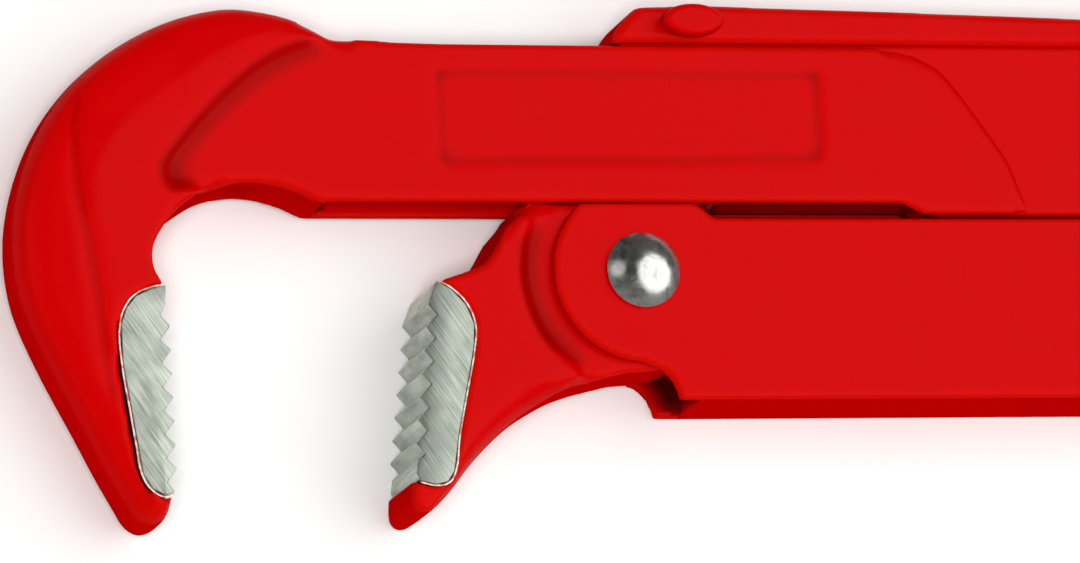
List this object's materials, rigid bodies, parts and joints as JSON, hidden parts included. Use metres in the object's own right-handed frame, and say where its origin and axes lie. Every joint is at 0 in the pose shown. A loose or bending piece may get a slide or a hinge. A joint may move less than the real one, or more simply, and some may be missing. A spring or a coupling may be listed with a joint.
{
  "type": "corner pipe wrench",
  "caption": "Two-handled corner pipe wrench: a hook jaw with a toothed plate slides on the lower jaw's lever, moved by a nut, and a lower handle squeezes it.",
  "frame": {"origin": "on the pivot axis, in the plane that the wrench's flat back lies on", "axes": "+X along the handles, away from the jaws; +Y from the lower handle to the upper handle; +Z out of the front face, along the pivot"},
  "size_m": [0.4171, 0.0944, 0.0223],
  "materials": {
    "red_paint": "glossy red paint",
    "ground_steel": "bare ground steel with fine grinding lines",
    "polished_steel": "smooth bright domed steel",
    "dark_steel": "dark oiled steel"
  },
  "bodies": {
    "jaw_lever_body": {"jaw_lever": "red_paint", "jaw_tooth_plate": "ground_steel", "upper_handle": "red_paint", "pivot_rivet": "polished_steel", "pivot_bush": "dark_steel", "handle_rivet_1": "red_paint", "handle_rivet_2": "red_paint", "handle_rivet_3": "red_paint", "guide_rivet": "red_paint", "thrust_washer_1": "ground_steel", "thrust_washer_2": "ground_steel"},
    "hook_body": {"hook_jaw": "red_paint", "hook_tooth_plate": "ground_steel", "adjusting_screw": "dark_steel", "screw_pin": "dark_steel"},
    "nut_body": {"adjusting_nut": "dark_steel"},
    "lower_handle_body": {"lower_handle": "red_paint"}
  },
  "joints": [
    {"name": "arm_slide", "type": "slide", "parent": "jaw_lever_body", "child": "hook_body", "axis": [1, 0, 0], "range_m": [-0.015, 0.03]},
    {"name": "nut_turn", "type": "hinge", "parent": "jaw_lever_body", "child": "nut_body", "pos_m": [0.118, 0.026, 0.0095], "axis": [1, 0, 0], "range_deg": [-3600.5, 1800.5]},
    {"name": "handle_pivot", "type": "hinge", "parent": "jaw_lever_body", "child": "lower_handle_body", "pos_m": [0, 0, 0], "axis": [0, 0, 1], "range_deg": [-24, 0]}
  ],
  "couplings": [
    {"joint": "nut_turn", "follows": "arm_slide", "rad_per_m": -2094.4}
  ]
}
